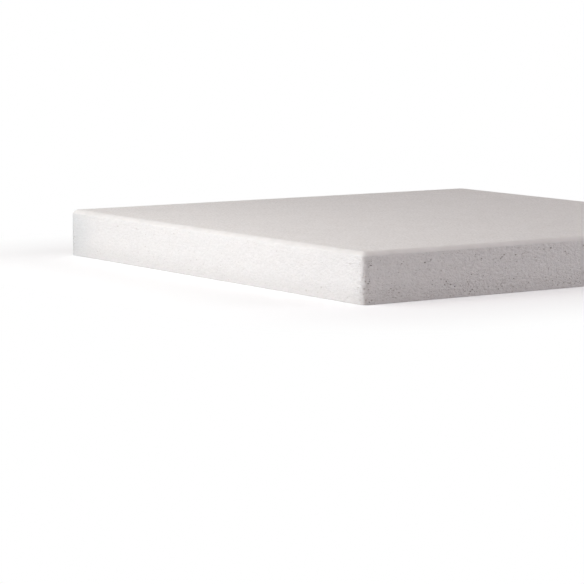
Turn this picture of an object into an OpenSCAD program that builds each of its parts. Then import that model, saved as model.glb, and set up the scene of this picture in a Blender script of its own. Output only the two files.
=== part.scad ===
// Polyethylene sheet: one plain panel of sawn stock, laid flat.
// Its top edges are rounded over with a router, its four upright corners are
// eased, and its bottom edges are left square from the saw.
// Frame: +Z up, origin at the centre of the underside, millimetres.

/* [Sheet] */
// Length of the panel, along X
sheet_length = 210; // [60:1:1200]
// Width of the panel, along Y
sheet_width = 200; // [60:1:1200]
// Thickness of the stock, along Z
sheet_thickness = 19; // [6:0.5:50]

/* [Edges] */
// Radius of the round along the four top edges
edge_radius = 1.6; // [0.5:0.1:2]
// Radius of the four upright corners
corner_radius = 2.4; // [2.2:0.1:10]

/* [Hidden] */
$fn = 64;
half_length = sheet_length / 2;
half_width = sheet_width / 2;
sheet_colour = [0.93, 0.92, 0.91];

// Half of the upright section: square at the bottom, rounded at the top.
// It runs from x = 0 out to x = reach.
module half_section(reach) {
    square([reach, sheet_thickness - edge_radius]);
    square([reach - edge_radius, sheet_thickness]);
    translate([reach - edge_radius, sheet_thickness - edge_radius])
        circle(r = edge_radius);
}

// The whole upright section, reach to either side of its middle
module full_section(reach) {
    half_section(reach);
    mirror([1, 0]) half_section(reach);
}

// A bar of that section, its run centred on the origin and lying along Y
module section_bar(reach, run) {
    rotate([90, 0, 0])
        linear_extrude(height = run, center = true)
            full_section(reach);
}

// One upright corner: the same section turned a quarter round about the
// corner's own axis, so that the round runs on without a break
module corner_post() {
    rotate_extrude(angle = 90) half_section(corner_radius);
}

module sheet() {
    color(sheet_colour) union() {
        section_bar(half_length, sheet_width - 2 * corner_radius);
        rotate([0, 0, 90])
            section_bar(half_width, sheet_length - 2 * corner_radius);
        for (side_x = [0, 1], side_y = [0, 1])
            mirror([side_x, 0]) mirror([0, side_y])
                translate([half_length - corner_radius, half_width - corner_radius])
                    corner_post();
    }
}

sheet();
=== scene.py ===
import math
import random

import bmesh
import bpy
from mathutils import Matrix, Vector, noise


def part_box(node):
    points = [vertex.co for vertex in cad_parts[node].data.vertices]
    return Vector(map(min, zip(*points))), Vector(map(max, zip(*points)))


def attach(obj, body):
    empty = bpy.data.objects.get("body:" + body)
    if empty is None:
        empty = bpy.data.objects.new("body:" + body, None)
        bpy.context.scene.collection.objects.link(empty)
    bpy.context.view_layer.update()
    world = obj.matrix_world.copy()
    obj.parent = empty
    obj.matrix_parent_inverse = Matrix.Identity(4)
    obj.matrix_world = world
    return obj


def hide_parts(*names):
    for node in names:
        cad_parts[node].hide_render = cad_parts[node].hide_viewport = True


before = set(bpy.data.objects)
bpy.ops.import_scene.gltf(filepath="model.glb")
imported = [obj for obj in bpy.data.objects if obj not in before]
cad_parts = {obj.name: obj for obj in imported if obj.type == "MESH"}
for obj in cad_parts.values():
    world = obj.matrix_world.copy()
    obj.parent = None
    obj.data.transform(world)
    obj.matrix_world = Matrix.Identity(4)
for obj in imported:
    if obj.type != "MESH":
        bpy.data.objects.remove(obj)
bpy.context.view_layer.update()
sheetLow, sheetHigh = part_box("sheet")
sheetSize = sheetHigh - sheetLow
mm = 0.001
cm = 0.01


def linear(hexColour):
    # "#RRGGBB" as picked on screen, to the linear red, green and blue that lamps and sockets take
    channels = [int(hexColour[i:i + 2], 16) / 255 for i in (1, 3, 5)]
    return [c / 12.92 if c <= 0.04045 else ((c + 0.055) / 1.055) ** 2.4 for c in channels]


def addNode(tree, kind, inputs=None, **settings):
    # one node: its settings, then a value or a link for each socket that is named
    node = tree.nodes.new(kind)
    for name, value in settings.items():
        setattr(node, name, value)
    for socket, value in (inputs or {}).items():
        if isinstance(value, bpy.types.NodeSocket):
            tree.links.new(value, node.inputs[socket])
        elif isinstance(value, str):
            node.inputs[socket].default_value = (*linear(value), 1)
        else:
            node.inputs[socket].default_value = value
    return node


def addObject(name, data, placed=Matrix()):
    thing = bpy.data.objects.new(name, data)
    thing.matrix_world = placed
    bpy.context.collection.objects.link(thing)
    return thing


def addMesh(name, vertices, faces, *materials):
    mesh = bpy.data.meshes.new(name)
    mesh.from_pydata(vertices, [], faces)
    for material in materials:
        mesh.materials.append(material)
    return addObject(name, mesh)


def pointing(place, aim):
    # a matrix that stands at place and looks at aim
    turned = (Vector(aim) - Vector(place)).to_track_quat("-Z", "Y").to_matrix().to_4x4()
    return Matrix.Translation(place) @ turned


# The camera looks low across the sheet's front corner, from the -X -Y side.
cameraView = {
    "azimuth": -35.87,      # degrees round from looking along +Y
    "elevation": 6.93,      # degrees above the floor
    "roll": 0.35,           # degrees
    "distance": 0.952,      # metres
    "lens": 160,            # mm
    "sensor": 36,           # mm across
    "clip": (0.05, 50),     # metres
    "aim": (0, 43, 0.5),    # mm from the sheet's front bottom corner
}


def makeCamera(view):
    azimuth, elevation = math.radians(view["azimuth"]), math.radians(view["elevation"])
    back = Vector((
        math.sin(azimuth) * math.cos(elevation),
        -math.cos(azimuth) * math.cos(elevation),
        math.sin(elevation),
    ))
    lens = bpy.data.cameras.new("camera")
    lens.lens = view["lens"]
    lens.sensor_width = view["sensor"]
    lens.clip_start, lens.clip_end = view["clip"]
    aim = sheetLow + Vector(view["aim"]) * mm
    rolled = Matrix.Rotation(math.radians(view["roll"]), 4, "Z")
    camera = addObject("camera", lens, pointing(aim + back * view["distance"], aim) @ rolled)
    bpy.context.scene.camera = camera


makeCamera(cameraView)
print("camera placed")


# High-density polyethylene throughout. It was extruded through a wide slot, along Y, as a
# thick waxy white sheet that lets a little light in under its surface.
hdpe = {
    "ior": 1.54,
    "specular": 0.3,                    # its fine waxy bloom scatters some of the gloss
    "subsurface": 0.25,                 # pale and thick, so far from clear
    "subsurfaceRadius": (1.0, 0.93, 0.88),
    "subsurfaceDepth": 1.2,             # mm
    "noiseRange": (0.37, 0.63),         # nearly all of the mottling noise lies in this
    "cloudDetail": 2,                   # octaves of finer and finer noise
    "fleckDetail": 3,
    "grainDetail": 4,
    "grainRoughness": 0.6,              # how strong each octave of the grain is, of the one before
}

# The top and bottom, rolled smooth while hot: a soft low sheen, hardly clouded, with faint flecks.
rolledSkin = {
    "white": "#F9F7F6",
    "cloudy": "#E8E6E4",
    "cloudSize": 11,        # mm
    "cloudShare": 0.12,     # of the mottling; the rest is flecks
    "fleckSize": 0.8,       # mm
    "roughness": (0.62, 0.78),      # of the white, and of the cloudy
    "grainSize": 0.45,      # mm; the roller's grain is nearer 0.1, drawn coarser so that it shows
    "grainDepth": 0.05,     # mm
}

# The round along the top, cut by a router through the dense skin: close and slightly burnished. Its
# white is a shade darker than the skin's and the walls', as painted shade that dims the highlight along
# the round.
routedRound = {
    "white": "#EDEBEA",
    "cloudy": "#E7E5E3",
    "cloudSize": 6,
    "cloudShare": 0.5,
    "fleckSize": 1.5,
    "roughness": (0.49, 0.61),
    "grainSize": 0.5,
    "grainDepth": 0.008,
    "drag": (3, 3, 1),      # cutter marks run level, so the grain is this much longer along X and Y
}

# The walls, sawn: dry and matt, with a fine crumbly grain, and painted shade at the foot and at the -X
# +Y corner.
sawnEdge = {
    "white": "#F5F3F2",
    "cloudy": "#EFEDEC",
    "cloudSize": 2,
    "cloudShare": 0.35,
    "fleckSize": 0.6,
    "roughness": (0.76, 0.84),
    "grainSize": 0.85,      # the saw's own grain is nearer 0.3, drawn coarser so that it shows
    "grainDepth": 0.41,
    "drag": (1.8, 1.8, 1),  # the blade ran level, so the grain is this much longer along X and Y
    "footShade": "#D8D4D2",      # painted shade along the foot, darker towards the bottom
    "footShadeReach": 8.5,       # mm
    "footShadeShare": 0.34,      # of the colour, at the very foot
    "cornerShade": "#D3D8DA",    # painted bluish shade, fading out from the -X +Y corner
    "cornerShadeReach": 24,      # mm
    "cornerShadeShare": 0.5,
}

# The inside of an open pore: the same plastic, torn, its white painted greyer as shade inside the
# hollow.
openPore = {
    "white": "#E2DDDB",
    "cloudy": "#D8D3D0",
    "cloudSize": 2,
    "cloudShare": 0.5,
    "fleckSize": 0.5,
    "roughness": (0.82, 0.88),
    "grainSize": 0.3,
    "grainDepth": 0.02,
}


def inMillimetres(tree, drag):
    # the sheet's own coordinates, one unit to the millimetre, with the pattern drawn out by drag
    place = addNode(tree, "ShaderNodeTexCoord")
    return addNode(tree, "ShaderNodeMapping", {
        "Vector": place.outputs["Object"],
        "Scale": [1 / mm / longer for longer in drag],
    }).outputs["Vector"]


def addPaintedShade(tree, look, kind, distance, white):
    # a painted shade that thins out with distance, in mm
    thin = addNode(tree, "ShaderNodeMapRange", {
        "Value": distance,
        "From Min": 0,
        "From Max": look[kind + "Reach"],
        "To Min": look[kind + "Share"],
        "To Max": 0,
    }, interpolation_type="SMOOTHSTEP")
    return addNode(tree, "ShaderNodeMix", {
        "Factor": thin.outputs["Result"],
        "A": white.outputs["Result"],
        "B": look[kind],
    }, data_type="RGBA")


def addFootAndCornerShade(tree, look, white):
    # painted shade: darker towards the foot, and bluish grey near the -X +Y corner
    place = inMillimetres(tree, (1, 1, 1))
    corner = Vector((sheetLow.x, sheetHigh.y, (sheetLow.z + sheetHigh.z) / 2)) / mm
    height = addNode(tree, "ShaderNodeSeparateXYZ", {"Vector": place})
    fromCorner = addNode(tree, "ShaderNodeVectorMath", {0: place, 1: corner}, operation="DISTANCE")
    footShaded = addPaintedShade(tree, look, "footShade", height.outputs["Z"], white)
    return addPaintedShade(tree, look, "cornerShade", fromCorner.outputs["Value"], footShaded)


def makeHdpe(name, look):
    material = bpy.data.materials.new(name)
    material.use_nodes = True
    tree = material.node_tree
    tree.nodes.clear()
    drag = look.get("drag", (1, 1, 1))
    clouds = addNode(tree, "ShaderNodeTexNoise", {
        "Vector": inMillimetres(tree, (1, 1, 1)),
        "Scale": 1 / look["cloudSize"],
        "Detail": hdpe["cloudDetail"],
    })
    flecks = addNode(tree, "ShaderNodeTexNoise", {
        "Vector": inMillimetres(tree, drag),
        "Scale": 1 / look["fleckSize"],
        "Detail": hdpe["fleckDetail"],
    })
    mottle = addNode(tree, "ShaderNodeMix", {
        "Factor": look["cloudShare"],
        "A": flecks.outputs["Fac"],
        "B": clouds.outputs["Fac"],
    })
    spread = addNode(tree, "ShaderNodeMapRange", {
        "Value": mottle.outputs["Result"],
        "From Min": hdpe["noiseRange"][0],
        "From Max": hdpe["noiseRange"][1],
    })
    white = addNode(tree, "ShaderNodeMix", {
        "Factor": spread.outputs["Result"],
        "A": look["white"],
        "B": look["cloudy"],
    }, data_type="RGBA")
    # painted shade on the walls, at the foot and at the -X +Y corner
    if "footShade" in look:
        white = addFootAndCornerShade(tree, look, white)
    sheen = addNode(tree, "ShaderNodeMapRange", {
        "Value": spread.outputs["Result"],
        "To Min": look["roughness"][0],
        "To Max": look["roughness"][1],
    })
    grain = addNode(tree, "ShaderNodeTexNoise", {
        "Vector": inMillimetres(tree, drag),
        "Scale": 1 / look["grainSize"],
        "Detail": hdpe["grainDetail"],
        "Roughness": hdpe["grainRoughness"],
    })
    bump = addNode(tree, "ShaderNodeBump", {
        "Height": grain.outputs["Fac"],
        "Strength": 1,
        "Distance": look["grainDepth"] * mm,
    })
    shader = addNode(tree, "ShaderNodeBsdfPrincipled", {
        "Base Color": white.outputs["Result"],
        "Roughness": sheen.outputs["Result"],
        "IOR": hdpe["ior"],
        "Specular IOR Level": hdpe["specular"],
        "Normal": bump.outputs["Normal"],
        "Subsurface Weight": hdpe["subsurface"],
        "Subsurface Radius": hdpe["subsurfaceRadius"],
        "Subsurface Scale": hdpe["subsurfaceDepth"] * mm,
    })
    addNode(tree, "ShaderNodeOutputMaterial", {"Surface": shader.outputs["BSDF"]})
    return material


# The panel's outline and section. Lengths are in mm. The upright corners have the CAD model's
# radius. Down the wall the round along the top is within 0.1 mm of the CAD model's, but it
# reaches further across the face.
panelShape = {
    "edgeRound": 1.5,       # down the wall, along the top edges
    "edgeReach": 1.4,       # times further across the top than down the wall, as the cutter rode low
    "edgeBevel": 0.6,       # how far the round is flattened towards a plain bevel
    "cornerRound": 2.4,     # on the four upright corners
    "arris": 0.15,          # the bottom edges, only just broken
    "holdingLoop": 0.3,     # a loop this close keeps the flats flat under smooth shading
    "roundSteps": 8,        # facets across a quarter round
    "cell": 5.0,            # the walls are divided about this finely
    "routerDrift": 0.06,    # how far the round wanders from its radius
    "driftLength": 25,
    "smoothUpTo": 20,       # degrees; the rounds stay smooth, and the holes' rims are crisp
    "flatsFirst": 90,       # how far large faces outweigh small ones in the shading; 50 is by area
}

# Open pores in the walls, thickest near the foot and at the corners. High is in mm, and a pore
# is stretch times as long as that. The band is the part of the thickness that its middle keeps
# to, from the bottom up.
poreKinds = {
    "largeUnderTop": {
        "perSquareCm": 3.6, "high": (0.43, 0.56), "stretch": (1.7, 2.5), "band": (0.69, 0.83),
    },
    "largeLow": {
        "perSquareCm": 1.5, "high": (0.38, 0.5), "stretch": (1.5, 2.4), "band": (0.03, 0.45),
    },
    "mediumLow": {
        "perSquareCm": 16, "high": (0.33, 0.47), "stretch": (1.4, 2.3), "band": (0.02, 0.33),
    },
    "mediumAnywhere": {
        "perSquareCm": 6, "high": (0.3, 0.43), "stretch": (1.4, 2.5), "band": (0.02, 0.88),
    },
    "fineLow": {
        "perSquareCm": 22, "high": (0.21, 0.33), "stretch": (1.2, 2.2), "band": (0.015, 0.42),
    },
    "fineAnywhere": {
        "perSquareCm": 11, "high": (0.21, 0.33), "stretch": (1.2, 2.2), "band": (0.015, 0.9),
    },
    "tornCorner": {
        "perSquareCm": 150, "high": (0.39, 0.57), "stretch": (1.1, 1.9), "band": (0.2, 0.45),
        "atCorners": True,
    },
    "nickedCorner": {
        "perSquareCm": 170, "high": (0.28, 0.45), "stretch": (1, 1.5), "band": (0.04, 0.9),
        "atCorners": True,
    },
}

# What the pores of every kind are like. Each is cut by a ragged, flattened ball.
poreShape = {
    "depth": (0.6, 0.95),       # half the ball's depth, of its height
    "sunk": (0.45, 0.7),        # how far inside the wall its middle lies, of that half depth
    "lean": 0.25,               # radians from level, either way
    "ragged": (0.86, 1.14),     # how far each of its points strays from an even ball
    "apart": 0.65,              # least distance between two middles, of the two sizes together
    "spill": 0.3,               # how far corner pores stray past the corner's round, of its arc
    "fineFrom": 0.42,           # mm; a hole higher than this has more facets
}

# The melt flowed along Y: the ends (-Y and +Y) cut across its pores, and the sides cut along them.
alongFlow = {
    "share": 0.32,          # of the pores that an end shows
    "stretch": 1.4,         # how much longer they look
    "depth": 0.6,           # how much shallower they are
}

# Shallow dimples that trapped air left in the rolled skin, top and bottom.
dimples = {
    "perSquareCm": 0.16,
    "width": (0.6, 1.7),    # mm
    "depth": 0.09,          # of the width
    "clear": 2 / 3,         # how far off the sheet the cutting ball's middle is, of its half height
    "fromEdge": 4,          # mm
}

poreSeed = 56               # for the places and shapes of pores and dimples


def outlineSides(shape):
    # anticlockwise from the -Y side: where each straight side starts, round the outline, and its length
    corner = shape["cornerRound"] * mm
    start = 0
    for turn in range(4):
        straight = sheetSize[turn % 2] - 2 * corner
        yield turn, start, straight
        start += straight + math.pi / 2 * corner


def onOutline(shape, distance):
    # the point this far round the outline, at the sheet's foot, and the outward normal there
    corner = shape["cornerRound"] * mm
    for turn, start, straight in outlineSides(shape):
        if distance <= start + straight + math.pi / 2 * corner or turn == 3:
            break
    along, out = sheetSize[turn % 2] / 2 - corner, sheetSize[1 - turn % 2] / 2 - corner
    past = distance - start
    angle = max(0, past - straight) / corner
    normal = Vector((math.sin(angle), -math.cos(angle), 0))
    point = Vector((min(past, straight) - along, -out, 0)) + normal * corner
    turned = Matrix.Rotation(turn * math.pi / 2, 3, "Z")
    foot = Vector(((sheetLow.x + sheetHigh.x) / 2, (sheetLow.y + sheetHigh.y) / 2, sheetLow.z))
    return foot + turned @ point, turned @ normal


def outlineStops(shape):
    # distances round the outline at which the mesh has a column of vertices
    hold, steps = shape["holdingLoop"] * mm, shape["roundSteps"]
    quarterArc = math.pi / 2 * shape["cornerRound"] * mm
    stops = []
    for turn, start, straight in outlineSides(shape):
        cells = round((straight - 2 * hold) / (shape["cell"] * mm))
        stops += [start]
        stops += [start + hold + (straight - 2 * hold) * i / cells for i in range(cells + 1)]
        stops += [start + straight + quarterArc * i / steps for i in range(steps)]
    return stops


def makePanel(shape, skin, routed, sawn):
    arris, hold, steps = shape["arris"] * mm, shape["holdingLoop"] * mm, shape["roundSteps"]
    wallTop = sheetSize.z - shape["edgeRound"] * mm - hold
    wallRows = round(wallTop / (shape["cell"] * mm))
    bevel, arc = shape["edgeBevel"], 1 - shape["edgeBevel"]
    skinSlot, routedSlot, sawnSlot = range(3)
    columns = []
    for stop in outlineStops(shape):
        point, normal = onOutline(shape, stop)
        drift = shape["routerDrift"] * noise.noise(point / (shape["driftLength"] * mm))
        edgeRound = (shape["edgeRound"] + drift) * mm
        section = [(arris, 0)]
        section += [(0, arris + (wallTop - arris) * i / wallRows) for i in range(wallRows + 1)]
        for i in range(steps + 1):
            turn = i / steps
            angle = math.pi / 2 * turn
            inset = edgeRound * shape["edgeReach"] * (arc * (1 - math.cos(angle)) + bevel * turn)
            drop = edgeRound * (arc * (1 - math.sin(angle)) + bevel * (1 - turn))
            section += [(inset, sheetSize.z - drop)]
        section += [(inset + hold, sheetSize.z)]
        columns.append([point - normal * inset + Vector((0, 0, height)) for inset, height in section])

    count, rows = len(columns), len(columns[0])
    faces = []
    for i in range(count):
        here, there = i * rows, (i + 1) % count * rows
        faces += [(here + row, there + row, there + row + 1, here + row + 1) for row in range(rows - 1)]
    faces += [[i * rows + rows - 1 for i in range(count)], [i * rows for i in reversed(range(count))]]
    sawnRows = wallRows + 2         # with the arris below and the holding loop's strip above
    slots = ([sawnSlot] * sawnRows + [routedSlot] * steps + [skinSlot]) * count + [skinSlot] * 2
    vertices = [vertex for column in columns for vertex in column]
    panel = addMesh("sheet_panel", vertices, faces, skin, routed, sawn)
    panel.data.polygons.foreach_set("material_index", slots)
    return panel


def scatterPores(kinds, shape, seed):
    # places in the walls that don't touch
    draw = random.Random(seed)
    quarterArc = math.pi / 2 * shape["cornerRound"] * mm
    sides = list(outlineSides(shape))
    around = sum(straight + quarterArc for turn, start, straight in sides)
    roof = sheetSize.z - shape["edgeRound"] * mm
    spill, apart = poreShape["spill"], poreShape["apart"]
    pores = []
    for kind in kinds.values():
        bottom, top = kind["band"]
        atCorners = kind.get("atCorners", False)
        length = 4 * quarterArc if atCorners else around
        for i in range(round(kind["perSquareCm"] * length * (top - bottom) * sheetSize.z / cm ** 2)):
            if atCorners:
                turn, start, straight = draw.choice(sides)
                distance = (start + straight + draw.uniform(-spill, 1 + spill) * quarterArc) % around
            else:
                distance = draw.uniform(0, around)
            normal = onOutline(shape, distance)[1]
            acrossFlow = 1 if atCorners else abs(normal.y)
            high = draw.uniform(*kind["high"]) * mm
            long = high * draw.uniform(*kind["stretch"])
            long *= 1 + (alongFlow["stretch"] - 1) * (1 - acrossFlow)
            height = draw.uniform(max(bottom * sheetSize.z, high), min(top * sheetSize.z, roof - high))
            if draw.random() > alongFlow["share"] + (1 - alongFlow["share"]) * acrossFlow:
                continue
            deep = high * draw.uniform(*poreShape["depth"])
            deep *= alongFlow["depth"] + (1 - alongFlow["depth"]) * acrossFlow
            if all(
                abs(distance - other["distance"]) > apart * (long + other["long"])
                or abs(height - other["height"]) > apart * (high + other["high"])
                for other in pores
            ):
                pores.append({
                    "distance": distance,
                    "height": height,
                    "long": long,
                    "high": high,
                    "deep": deep,
                })
    return pores


def unitBall(subdivisions):
    ball = bmesh.new()
    bmesh.ops.create_icosphere(ball, subdivisions=subdivisions, radius=1)
    vertices = [vertex.co.copy() for vertex in ball.verts]
    faces = [[vertex.index for vertex in face.verts] for face in ball.faces]
    ball.free()
    return vertices, faces


def makePoreCutter(pores, shape, torn, seed):
    draw = random.Random(seed)
    lean = poreShape["lean"]
    coarse, fine = unitBall(1), unitBall(2)
    vertices, faces = [], []
    for hole in pores:
        foot, normal = onOutline(shape, hole["distance"])
        tangent = normal.cross(Vector((0, 0, 1)))
        sunk = hole["deep"] * draw.uniform(*poreShape["sunk"])
        centre = foot + Vector((0, 0, hole["height"])) - normal * sunk
        leaning = Matrix.Rotation(draw.uniform(-lean, lean), 3, "Y")
        ballVertices, ballFaces = fine if hole["high"] > poreShape["fineFrom"] * mm else coarse
        faces += [[len(vertices) + index for index in face] for face in ballFaces]
        for unit in ballVertices:
            ragged = leaning @ unit * draw.uniform(*poreShape["ragged"])
            vertices.append(
                centre
                + tangent * ragged.x * hole["long"] / 2
                + normal * ragged.y * hole["deep"]
                + Vector((0, 0, ragged.z * hole["high"] / 2))
            )
    return addMesh("poreCutter", vertices, faces, torn)


def makeDimpleCutter(look, skin, seed):
    # flattened balls that stand mostly clear of the sheet, and so cut only shallow caps
    draw = random.Random(seed)
    clear, margin = look["clear"], look["fromEdge"] * mm
    ballVertices, ballFaces = unitBall(2)
    vertices, faces = [], []
    for level, outward in ((sheetLow.z, -1), (sheetHigh.z, 1)):
        for i in range(round(look["perSquareCm"] * sheetSize.x * sheetSize.y / cm ** 2)):
            width = draw.uniform(*look["width"]) * mm
            halfHigh = look["depth"] * width / (1 - clear)
            halfWide = width / 2 / math.sqrt(1 - clear ** 2)
            centre = Vector((
                draw.uniform(sheetLow.x + margin, sheetHigh.x - margin),
                draw.uniform(sheetLow.y + margin, sheetHigh.y - margin),
                level + outward * halfHigh * clear,
            ))
            faces += [[len(vertices) + index for index in face] for face in ballFaces]
            vertices += [centre + unit * Vector((halfWide, halfWide, halfHigh)) for unit in ballVertices]
    return addMesh("dimpleCutter", vertices, faces, skin)


def cutAway(panel, shape, cutters):
    for cutter in cutters:
        cut = panel.modifiers.new(cutter.name, "BOOLEAN")
        cut.operation = "DIFFERENCE"
        cut.solver = "MANIFOLD"
        cut.material_mode = "TRANSFER"      # the holes take the cutter's material
        cut.object = cutter
    flat = panel.modifiers.new("triangles", "TRIANGULATE")
    flat.min_vertices = 5                   # so quads stay whole
    evaluated = panel.evaluated_get(bpy.context.evaluated_depsgraph_get())
    panel.data = bpy.data.meshes.new_from_object(evaluated)
    panel.modifiers.clear()
    for cutter in cutters:
        bpy.data.objects.remove(cutter)
    panel.data.shade_smooth()
    panel.data.set_sharp_from_angle(angle=math.radians(shape["smoothUpTo"]))
    # large faces count for most in the shading, so the flats look flat right up to each hole
    weighted = panel.modifiers.new("weightedNormals", "WEIGHTED_NORMAL")
    weighted.keep_sharp = True
    weighted.weight = shape["flatsFirst"]


def makeSheet():
    skin = makeHdpe("hdpeRolledSkin", rolledSkin)
    routed = makeHdpe("hdpeRoutedRound", routedRound)
    sawn = makeHdpe("hdpeSawnEdge", sawnEdge)
    torn = makeHdpe("hdpeOpenPore", openPore)
    panel = makePanel(panelShape, skin, routed, sawn)
    pores = scatterPores(poreKinds, panelShape, poreSeed)
    cutAway(panel, panelShape, [
        makePoreCutter(pores, panelShape, torn, poreSeed),
        makeDimpleCutter(dimples, skin, poreSeed),
    ])
    triangles = sum(len(face.vertices) - 2 for face in panel.data.polygons)
    print("sheet made, with", len(pores), "pores and", triangles, "triangles")
    return panel


sheet = makeSheet()
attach(sheet, "root")
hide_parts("sheet")


# A pale paper floor. Close round the sheet it is lit paper, so that it keeps the shadow, and
# it soon turns to plain white.
paperFloor = {
    "halfSize": 6,          # metres
    "paper": "#E6E7E9",
    "bounce": "#BDBCBB",    # what the sheet gets back from it
    "glow": 0.36,           # added to the lit paper, for the eye only
    "whiteBeyond": 0.08,    # metres from the sheet
}


def seenRays(tree):
    # 1 for rays from the camera, off a gloss or through glass, and 0 for those that carry light
    rays = addNode(tree, "ShaderNodeLightPath")
    direct = addNode(tree, "ShaderNodeMath", {
        0: rays.outputs["Is Camera Ray"],
        1: rays.outputs["Is Glossy Ray"],
    }, operation="ADD")
    return addNode(tree, "ShaderNodeMath", {
        0: direct.outputs["Value"],
        1: rays.outputs["Is Transmission Ray"],
    }, operation="ADD", use_clamp=True).outputs["Value"]


def distanceFromSheet(tree):
    # in metres, over the floor, whose own coordinates start under the sheet's middle
    place = addNode(tree, "ShaderNodeTexCoord").outputs["Object"]
    folded = addNode(tree, "ShaderNodeVectorMath", {0: place}, operation="ABSOLUTE").outputs["Vector"]
    halfSheet = (sheetSize.x / 2, sheetSize.y / 2, 0)
    past = addNode(tree, "ShaderNodeVectorMath", {0: folded, 1: halfSheet}, operation="SUBTRACT")
    clear = addNode(tree, "ShaderNodeVectorMath", {0: past.outputs["Vector"]}, operation="MAXIMUM")
    length = addNode(tree, "ShaderNodeVectorMath", {0: clear.outputs["Vector"]}, operation="LENGTH")
    return length.outputs["Value"]


def makePaper(look):
    material = bpy.data.materials.new("studioPaper")
    material.use_nodes = True
    tree = material.node_tree
    tree.nodes.clear()
    paper = addNode(tree, "ShaderNodeBsdfDiffuse", {"Color": look["paper"]})
    bounce = addNode(tree, "ShaderNodeBsdfDiffuse", {"Color": look["bounce"]})
    far = addNode(tree, "ShaderNodeMapRange", {
        "Value": distanceFromSheet(tree),
        "From Max": look["whiteBeyond"],
    }, interpolation_type="SMOOTHSTEP")
    glow = addNode(tree, "ShaderNodeEmission", {"Strength": look["glow"]})
    near = addNode(tree, "ShaderNodeAddShader", {0: paper.outputs["BSDF"], 1: glow.outputs["Emission"]})
    white = addNode(tree, "ShaderNodeEmission", {"Strength": 1})
    seen = addNode(tree, "ShaderNodeMixShader", {
        0: far.outputs["Result"],
        1: near.outputs["Shader"],
        2: white.outputs["Emission"],
    })
    surface = addNode(tree, "ShaderNodeMixShader", {
        0: seenRays(tree),
        1: bounce.outputs["BSDF"],
        2: seen.outputs["Shader"],
    })
    addNode(tree, "ShaderNodeOutputMaterial", {"Surface": surface.outputs["Shader"]})
    return material


def makeFloor(look):
    half = look["halfSize"]
    corners = [(-half, -half, 0), (half, -half, 0), (half, half, 0), (-half, half, 0)]
    floor = addMesh("floor", corners, [(0, 1, 2, 3)], makePaper(look))
    floor.location = ((sheetLow.x + sheetHigh.x) / 2, (sheetLow.y + sheetHigh.y) / 2, sheetLow.z)


makeFloor(paperFloor)
print("floor made")


# keyLow and keyHigh light the -X wall and the top beside it, overBack the whole top, and
# fillRight the -Y and +X walls. Places, aims and sizes are in metres.
softboxes = {
    "keyLow": {
        "place": (-0.65, -0.075, 0.068), "aim": (-0.09, 0, 0.01), "size": (0.3, 0.3),
        "watts": 2.0, "tint": "#F6FAFF",
    },
    "keyHigh": {
        "place": (-0.297, 0.017, 0.24), "aim": (-0.09, 0, 0.01), "size": (0.22, 0.22),
        "watts": 0.45, "tint": "#FFFDF8",
    },
    "overBack": {
        "place": (-0.5, 0.5, 0.5), "aim": (0, 0, 0), "size": (0.4, 0.4),
        "watts": 1.0, "tint": "#E4FCFF",
    },
    "fillRight": {
        "place": (1.3, -0.8, 0.4), "aim": (0, 0, 0), "size": (0.8, 0.8),
        "watts": 12.7, "tint": "#F5F9FF",
    },
}

# What the room gives back from all round. To the eye the room is plain white.
room = {
    "tint": "#FFE4DF",
    "strength": 0.222,
}


def makeSoftbox(name, box):
    lamp = bpy.data.lights.new(name, "AREA")
    lamp.shape = "RECTANGLE"
    lamp.size, lamp.size_y = box["size"]
    lamp.energy = box["watts"]
    lamp.color = linear(box["tint"])
    addObject(name, lamp, pointing(box["place"], box["aim"]))


def makeRoom(look):
    world = bpy.data.worlds.new("studio")
    world.use_nodes = True
    tree = world.node_tree
    tree.nodes.clear()
    lit = addNode(tree, "ShaderNodeBackground", {"Color": look["tint"], "Strength": look["strength"]})
    white = addNode(tree, "ShaderNodeBackground", {"Color": "#FFFFFF", "Strength": 1})
    surface = addNode(tree, "ShaderNodeMixShader", {
        0: seenRays(tree),
        1: lit.outputs["Background"],
        2: white.outputs["Background"],
    })
    addNode(tree, "ShaderNodeOutputWorld", {"Surface": surface.outputs["Shader"]})
    bpy.context.scene.world = world


for name, box in softboxes.items():
    makeSoftbox(name, box)
makeRoom(room)
bpy.context.scene.view_settings.view_transform = "Standard"
print("lights made")
